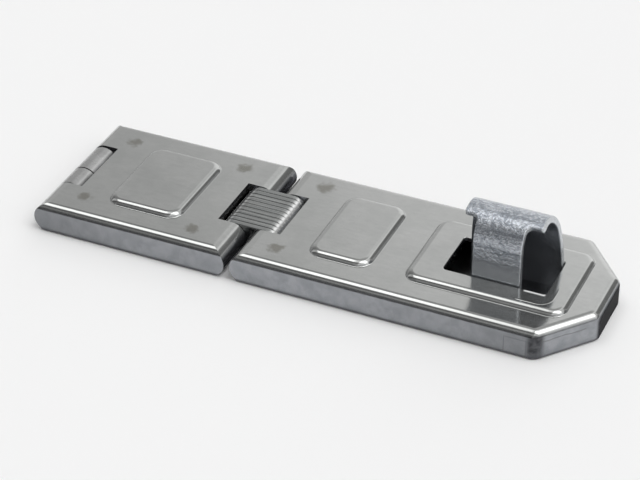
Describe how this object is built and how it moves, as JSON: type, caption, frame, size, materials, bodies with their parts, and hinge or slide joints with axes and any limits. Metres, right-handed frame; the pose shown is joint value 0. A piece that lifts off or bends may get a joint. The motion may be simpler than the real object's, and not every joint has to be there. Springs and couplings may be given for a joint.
{
  "type": "hasp and staple",
  "caption": "Long security hasp of pressed steel plates with a laminated link joint, shut over an arched padlock staple.",
  "frame": {"origin": "on the door's surface, under the middle of the shut hasp: the bottom centre of the bounding box", "axes": "+X along the hasp from the hinge end to the staple end, +Y along the hinge pins, +Z straight out of the door"},
  "size_m": [0.19, 0.056, 0.0325],
  "materials": {
    "plate_steel": "satin, fine brushed, with rounded bright edges",
    "link_steel": "ground edges of hardened laminations",
    "zinc_coat": "bluish zinc coat with a faint spangle",
    "inner_steel": "plain zinc plated",
    "pin_steel": "plain drawn steel"
  },
  "bodies": {
    "mounting": {"base_plate": "inner_steel", "staple_plate": "inner_steel", "staple": "zinc_coat", "hinge_pin": "pin_steel"},
    "cover": {"cover_plate": "plate_steel", "cover_leaf": "inner_steel", "cover_link_pin": "pin_steel"},
    "link": {"link_plate_01": "link_steel", "link_plate_02": "link_steel", "link_plate_03": "link_steel", "link_plate_04": "link_steel", "link_plate_05": "link_steel", "link_plate_06": "link_steel", "link_plate_07": "link_steel", "link_plate_08": "link_steel", "link_plate_09": "link_steel", "link_plate_10": "link_steel", "link_plate_11": "link_steel"},
    "hasp": {"hasp_plate": "plate_steel", "hasp_leaf": "inner_steel", "hasp_link_pin": "pin_steel"}
  },
  "joints": [
    {"name": "cover_hinge", "type": "hinge", "parent": "mounting", "child": "cover", "pos_m": [-0.09, 0, 0.005], "axis": [0, -1, 0], "range_deg": [0, 175]},
    {"name": "link_hinge", "type": "hinge", "parent": "cover", "child": "link", "pos_m": [-0.0301, 0, 0.005], "axis": [0, -1, 0], "range_deg": [0, 90]},
    {"name": "hasp_hinge", "type": "hinge", "parent": "link", "child": "hasp", "pos_m": [-0.0181, 0, 0.005], "axis": [0, -1, 0], "range_deg": [0, 85]}
  ]
}
